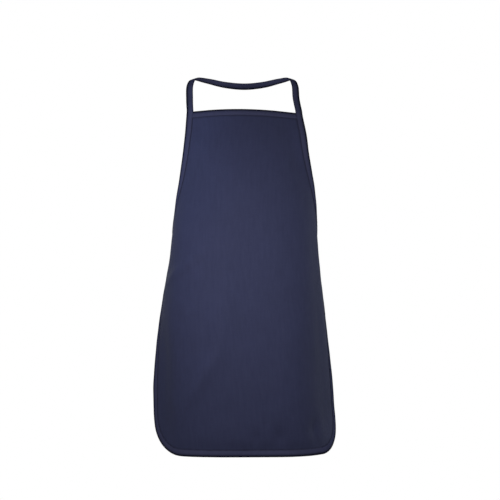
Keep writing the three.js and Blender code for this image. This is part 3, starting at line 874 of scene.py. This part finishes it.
class APRON_OT_panel(bpy.types.Operator):
    """Make the cloth panel in its worn shape"""

    bl_idname = "apron.panel"
    bl_label = "Cloth panel"

    def execute(self, context):
        sizes = context.scene.apron_cut
        cut = FlatCut(sizes)
        by_edge = np.array(PANEL_EDGE, float)
        length = cut.length - 2 * EDGE_TUCK
        between = np.linspace(by_edge[-1], length - by_edge[-1], int(length / PANEL_STEP))
        down = EDGE_TUCK + np.concatenate([by_edge[:-1], between, length - by_edge[-2::-1]])
        half = cut.half_width(down)[:, None] - EDGE_TUCK
        share = np.linspace(-1, 1, PANEL_COLUMNS)
        across = np.hstack([by_edge[:-1] - half, (half - by_edge[-1]) * share, half - by_edge[-2::-1]])
        levels = np.broadcast_to(down[:, None], across.shape)
        middle, normal = (table.reshape(-1, 3) for table in worn_cloth().at(across, levels))
        offset = normal * sizes.cloth_thickness / MM / 2
        points = np.vstack([middle + offset, middle - offset])
        behind = len(middle)
        index = np.arange(behind).reshape(across.shape)
        front = np.stack([index[:-1, :-1], index[1:, :-1], index[1:, 1:], index[:-1, 1:]], -1).reshape(-1, 4)
        rim = np.concatenate([index[:, 0], index[-1, 1:], index[-2::-1, -1], index[0, -2:0:-1]])
        ahead = np.roll(rim, -1)
        edge = np.stack([ahead, rim, rim + behind, ahead + behind], -1)
        faces = np.vstack([front, front[:, ::-1] + behind, edge]).tolist()
        flat = np.stack([across.ravel(), levels.ravel()], -1)
        # Painted shadow of the tape's edge on the panel, fading out over SEAM_REACH from the sewn edge
        away = np.maximum(cut.seam_distance(across, levels).ravel(), 0)
        painted_shade = np.exp(-(away / SEAM_REACH) ** 2)
        piece = make_piece(
            "worn_panel", points, faces, cloth_material(context.scene.apron_colours),
            np.vstack([flat, flat]), np.concatenate([painted_shade, painted_shade]))
        work["panel"] = fitted(piece, "cloth", "apron_panel")
        work["area"] = cut.area()
        return {"FINISHED"}


class APRON_OT_bindings(bpy.types.Operator):
    """Fold tape over the top edge, the armholes and the hem"""

    bl_idname = "apron.bindings"
    bl_label = "Edge bindings"

    def execute(self, context):
        cut = FlatCut(context.scene.apron_cut)
        tape = tape_material(context.scene.apron_colours)
        runs = (
            ("top_edge_tape", "bib_top_binding", cut.top_run()),
            ("left_armhole_tape", "left_armhole_binding", cut.armhole_run(-1)),
            ("right_armhole_tape", "right_armhole_binding", cut.armhole_run(1)),
            ("hem_tape", "hem_binding", cut.hem_run()),
        )
        work["bindings"] = []
        work["rows"]["edge_stitches"] = []
        for name, node, run in runs:
            piece, rows = bound_edge(name, worn_cloth(), cut, run, tape)
            work["bindings"].append(fitted(piece, "tape", node))
            work["rows"]["edge_stitches"] += rows
        return {"FINISHED"}


class APRON_OT_neck_strap(bpy.types.Operator):
    """Run the armhole tape on as a loop over both shoulders and round the nape"""

    bl_idname = "apron.neck_strap"
    bl_label = "Neck strap"

    def execute(self, context):
        sizes = context.scene.apron_cut
        cut = FlatCut(sizes)
        width = sizes.tape_width / MM
        (left, left_facing), (right, right_facing) = (self.half_route(cut, width, side) for side in (-1, 1))
        path, parameter = smooth_route(left + right[-2::-1])
        facing = along_route(left_facing + right_facing[-2::-1], parameter)
        along = running_length(path)
        from_end = np.minimum(along, along[-1] - along)
        closing = eased(np.clip(from_end / STRAP_OPENING_EASE, 0, 1))
        inside = BOUND_INSIDE + (PLAIN_INSIDE - BOUND_INSIDE) * closing
        tape = tape_material(context.scene.apron_colours)
        piece, rows = free_tape("neck_loop_tape", path, facing, width, tape, inside)
        work["strap"] = fitted(piece, "tape", "neck_strap")
        work["strap_length"] = along[-1]
        work["rows"]["strap_stitches"] = rows
        return {"FINISHED"}

    def half_route(self, cut, width, side):
        """Middle line and facing from the bib's corner on one side to the nape."""
        edge, _ = cut.armhole_edge(0.0)
        ends, looks = worn_cloth().at(side * np.array([cut.armhole_inner(0.0), edge]), np.zeros(2))
        widthways = unit(ends[1] - ends[0])
        normal = unit(looks.sum(0))
        upwards = side * np.cross(normal, widthways)
        middle = ends[0] + widthways * width / 2
        route = [middle, middle + upwards * STRAP_LEAD]
        facing = [normal, normal]
        for out, aside, back, up, face in STRAP_ROUTE:
            face = unit(np.array([side * face[0], face[1], face[2]]))
            route.append(np.array([side * out + aside, back, up]) + face * STRAP_THICKNESS / 2)
            facing.append(face)
        return route, facing


class APRON_OT_waist_ties(bpy.types.Operator):
    """Make the two ties round the waist and their hanging ends"""

    bl_idname = "apron.waist_ties"
    bl_label = "Waist ties"

    def execute(self, context):
        sizes = context.scene.apron_cut
        cut = FlatCut(sizes)
        tape = tape_material(context.scene.apron_colours)
        height = tie_height(cut)
        work["ties"] = []
        work["rows"]["tie_stitches"] = []
        for side, label in ((-1, "left"), (1, "right")):
            made = []
            for name, node, (path, facing) in (
                    (f"{label}_tie_tape", f"{label}_waist_tie", self.tie_route(cut, height, side)),
                    (f"{label}_hanging_end", f"{label}_tie_end", self.end_route(height, side))):
                inside = np.full(len(path), PLAIN_INSIDE)
                piece, rows = free_tape(name, path, facing, sizes.tape_width / MM, tape, inside)
                made += [fitted(piece, "tape", node), running_length(path)[-1]]
                work["rows"]["tie_stitches"] += rows
            work["ties"].append(made)
        return {"FINISHED"}

    def tie_route(self, cut, height, side, lap=1.0):
        """Path and facing from the waist corner on one side to the knot, which the tie laps into."""
        route, facing = [], []
        for inset, depth in TIE_SEWN:
            place, normal = worn_cloth().at(side * (cut.half - inset), TIE_DOWN)
            route.append(place - normal * depth)
            facing.append(normal)
        for out, back in TIE_ROUTE:
            route.append(np.array([side * out, back, height]))
            facing.append(unit(np.array([side * out, back - WAIST_MIDDLE_BACK, 0])))
        route.append(np.array([side * (KNOT_WIDTH / 2 - lap), KNOT_BACK, height]))
        facing.append(np.array([0.0, 1.0, 0.0]))
        path, parameter = smooth_route(route)
        return path, along_route(facing, parameter)

    def end_route(self, height, side, lap=0.5, sway=1.6, half_sways=2.2, turn=0.16, half_turns=1.7):
        """Path and facing of the end that hangs from the knot on one side, swaying and turning a little."""
        share = np.linspace(0, 1, int(TIE_END_LENGTH / TAPE_STEP))
        top = height - KNOT_HEIGHT / 2 + lap
        back = KNOT_BACK + side * TIE_END_SPACING / 2
        swayed = sway * np.sin(half_sways * math.pi * share + side) * share
        turned = side * turn * np.sin(half_turns * math.pi * share) * share
        path = np.stack([side * TIE_END_SPLAY * share ** 2, back + swayed, top - TIE_END_LENGTH * share], -1)
        return path, np.stack([np.sin(turned), np.cos(turned), 0 * share], -1)


def band(path, across, width, thickness, creasing, closed, sides=20, squareness=0.55, creases=7):
    """Soft band of gathered tape along a path: sections with the given half sizes, and their flat map."""
    angle = np.linspace(0, 2 * math.pi, sides, endpoint=False)
    forwards = np.gradient(path, axis=0)
    if closed:
        forwards = np.roll(path, -1, axis=0) - np.roll(path, 1, axis=0)
    forwards = unit(forwards)
    normal = unit(np.cross(across, forwards))
    across = unit(np.cross(forwards, normal))
    gather = 1 + creasing * np.cos(creases * angle)
    x, y = (np.sign(wave) * np.abs(wave) ** squareness * gather for wave in (np.cos(angle), np.sin(angle)))
    sections = (path[:, None] + across[:, None] * np.outer(width, x)[..., None]
                + normal[:, None] * np.outer(thickness, y)[..., None])
    uvs = np.stack(np.broadcast_arrays(running_length(path)[:, None], angle * np.mean(width)), -1)
    return sections, uvs


class APRON_OT_knot(bpy.types.Operator):
    """Tie the knot at the centre back"""

    bl_idname = "apron.knot"
    bl_label = "Tie knot"

    def execute(self, context):
        sizes = context.scene.apron_cut
        middle = np.array([0.0, KNOT_BACK, tie_height(FlatCut(sizes))])
        half_tape = sizes.tape_width / MM / 2
        points, uvs, faces = [], [], []
        for path, *shape, closed in (
                self.gathered(half_tape), self.wrap(), self.tail(half_tape, -1), self.tail(half_tape, 1)):
            sections, flat = band(path + middle, *shape, closed)
            faces += sweep_faces(sections, sum(map(len, points)), closed)
            points.append(sections.reshape(-1, 3))
            uvs.append(flat.reshape(-1, 2))
        points = np.vstack(points)
        piece = make_piece(
            "knotted_ties", points, faces, tape_material(context.scene.apron_colours),
            np.vstack(uvs), np.zeros(len(points)))
        work["knot"] = fitted(piece, "tape", "tie_knot")
        return {"FINISHED"}

    # Each of the next three gives a path, the way across it, half width, half thickness, creasing and whether
    # the path is closed

    def gathered(self, half_tape, points=25, ease=0.8, sway=0.5, sway_length=5, rise=0.4, rise_length=4,
                 narrower=3.6, thin=1.3, thicker=3.0, creasing=0.07):
        """Tie that runs through the knot and is drawn in there."""
        reach = np.linspace(-KNOT_WIDTH / 2, KNOT_WIDTH / 2, points)
        drawn_in = np.cos(reach / KNOT_WIDTH * math.pi) ** ease
        path = np.stack([reach, sway * np.sin(reach / sway_length), rise * np.cos(reach / rise_length)], -1)
        return path, (0, 0, 1), half_tape - narrower * drawn_in, thin + thicker * drawn_in, creasing, False

    def wrap(self, points=36, half_sizes=(1.2, 5.0, 7.4), across=(1, 0, 0.1), wide=5.2, swell=0.5, thick=1.15,
             creasing=0.03):
        """Turn of tape round the gathered tie."""
        turn = np.linspace(0, 2 * math.pi, points, endpoint=False)
        path = np.stack([np.sin(turn), np.cos(turn), np.sin(turn)], -1) * half_sizes
        return path, across, wide + swell * np.cos(2 * turn), thick + 0 * turn, creasing, True

    def tail(self, half_tape, side, points=9, aside=2.5, drop=3.0, narrow=4.6, thick=2.2, creasing=0.04):
        """Start of one hanging end, which widens under the wrap."""
        fall = np.linspace(0, 1, points)
        path = np.stack([
            -aside * side * (1 - fall) ** 2, side * TIE_END_SPACING / 2 * fall,
            -drop - (KNOT_HEIGHT / 2 - drop) * fall], -1)
        return path, (1, 0, 0), narrow + (half_tape - narrow) * fall, thick - fall, creasing, False


class APRON_OT_stitches(bpy.types.Operator):
    """Sew the bindings, the strap and the ties"""

    bl_idname = "apron.stitches"
    bl_label = "Stitching"

    def execute(self, context):
        if not work["rows"]:
            raise RuntimeError("make the bindings, strap and ties before their stitches")
        thread = thread_material(context.scene.apron_colours)
        work["stitches"] = []
        for name, rows in work["rows"].items():
            piece = sewn_rows(name, rows, context.scene.apron_sewing, thread)
            work["stitches"].append(fitted(piece, "tape"))
        return {"FINISHED"}


class APRON_OT_cloth_sizes(bpy.types.Operator):
    """Step for the flat sizes of the cloth, which does nothing"""

    bl_idname = "apron.cloth_sizes"
    bl_label = "Flat sizes"

    def execute(self, context):
        return {"FINISHED"}


class APRON_OT_stage(bpy.types.Operator):
    """Set up the pale floor, the soft lights and the camera"""

    bl_idname = "apron.stage"
    bl_label = "Studio stage"

    def execute(self, context):
        scene = context.scene
        self.make_camera(scene)
        self.make_floor(scene.apron_stage.floor_drop)
        self.make_lights()
        self.make_world(scene)
        scene.view_settings.view_transform = "Standard"
        scene.view_settings.look = "None"
        return {"FINISHED"}

    def make_camera(self, scene, frame_width=36.0, sight=60.0):
        """Camera that looks straight at the bib."""
        stage = scene.apron_stage
        data = bpy.data.cameras.new("camera")
        data.lens = stage.lens
        data.sensor_width = frame_width
        data.clip_end = sight
        camera = linked("camera", data)
        camera.location = (stage.camera_aside, -stage.camera_distance, stage.camera_height)
        camera.rotation_euler = (math.pi / 2, 0, 0)
        scene.camera = camera

    def make_floor(self, drop):
        """Pale round floor that sends no light up to the apron."""
        mesh = bpy.data.meshes.new("floor")
        turns = np.linspace(0, 2 * math.pi, FLOOR_SIDES, endpoint=False)
        rim = [(FLOOR_REACH * math.cos(turn), FLOOR_REACH * math.sin(turn), -drop) for turn in turns]
        mesh.from_pydata(rim, [], [range(FLOOR_SIDES)])
        floor = linked("floor", mesh)
        floor.visible_diffuse = False
        floor.visible_glossy = False
        material, tree, shader = new_material("pale_floor")
        place = node_of(tree, "ShaderNodeTexCoord").outputs["Object"]
        noise = node_of(tree, "ShaderNodeTexNoise", {"Vector": place, "Scale": 3.0, "Detail": 3.0}).outputs[0]
        pale = node_of(tree, "ShaderNodeMapRange", {
            "Value": noise, "To Min": 0.78, "To Max": 0.82}).outputs[0]
        feed(tree, shader, {
            "Base Color": pale, "Emission Color": pale, "Emission Strength": FLOOR_GLOW, "Roughness": 0.9})
        mesh.materials.append(material)

    def make_lights(self):
        """Round soft lights that the camera doesn't see."""
        for name, turn, rise, distance, width, strength, colour in LIGHTS:
            turn = math.radians(turn)
            rise = math.radians(rise)
            away = Vector((math.sin(turn) * math.cos(rise), -math.cos(turn) * math.cos(rise), math.sin(rise)))
            data = bpy.data.lights.new(name, "AREA")
            data.shape = "DISK"
            data.size = width
            data.energy = strength * math.pi ** 2 * distance ** 2
            data.color = colour
            light = linked(name, data)
            light.location = Vector(LIGHTS_AIM) + away * distance
            light.rotation_euler = away.to_track_quat("Z", "Y").to_euler()
            light.visible_camera = False

    def make_world(self, scene):
        """White surroundings for the camera, and a weak even light from all sides for the apron."""
        world = bpy.data.worlds.new("studio")
        scene.world = world
        world.use_nodes = True
        tree = world.node_tree
        tree.nodes.clear()
        room, seen = (
            node_of(tree, "ShaderNodeBackground", {"Color": (1, 1, 1, 1), "Strength": strength}).outputs[0]
            for strength in (ROOM_LIGHT, 1.0))
        by_camera = node_of(tree, "ShaderNodeLightPath").outputs["Is Camera Ray"]
        mixed = node_of(tree, "ShaderNodeMixShader", {0: by_camera, 1: room, 2: seen})
        node_of(tree, "ShaderNodeOutputWorld", {0: mixed.outputs[0]})


class APRON_PT_sidebar(bpy.types.Panel):
    """Steps that make the apron"""

    bl_label = "Bib apron"
    bl_idname = "APRON_PT_sidebar"
    bl_space_type = "VIEW_3D"
    bl_region_type = "UI"
    bl_category = "Apron"

    def draw(self, context):
        for owner, _ in SETTINGS:
            settings = getattr(context.scene, owner)
            box = self.layout.box()
            for key in settings.__annotations__:
                box.prop(settings, key)
        for operator in OPERATORS:
            self.layout.operator(operator.bl_idname)


SETTINGS = (
    ("apron_cut", ApronCut),
    ("apron_sewing", ApronSewing),
    ("apron_colours", ApronColours),
    ("apron_stage", ApronStage),
)
OPERATORS = (
    APRON_OT_stage,
    APRON_OT_panel,
    APRON_OT_bindings,
    APRON_OT_neck_strap,
    APRON_OT_waist_ties,
    APRON_OT_knot,
    APRON_OT_stitches,
    APRON_OT_cloth_sizes,
)


def register():
    """Add the settings to the scene, and the operators and the panel to Blender."""
    for name, settings in SETTINGS:
        bpy.utils.register_class(settings)
        setattr(bpy.types.Scene, name, PointerProperty(type=settings))
    for operator in OPERATORS:
        bpy.utils.register_class(operator)
    bpy.utils.register_class(APRON_PT_sidebar)


def unregister():
    """Take out what register added."""
    bpy.utils.unregister_class(APRON_PT_sidebar)
    for operator in reversed(OPERATORS):
        bpy.utils.unregister_class(operator)
    for name, settings in reversed(SETTINGS):
        delattr(bpy.types.Scene, name)
        bpy.utils.unregister_class(settings)


def main():
    """Make the stage and the apron piece by piece."""
    register()
    bpy.ops.apron.stage()
    bpy.ops.apron.panel()
    bpy.ops.apron.bindings()
    bpy.ops.apron.neck_strap()
    bpy.ops.apron.waist_ties()
    bpy.ops.apron.knot()
    bpy.ops.apron.stitches()
    bpy.ops.apron.cloth_sizes()


if __name__ == "__main__":
    main()
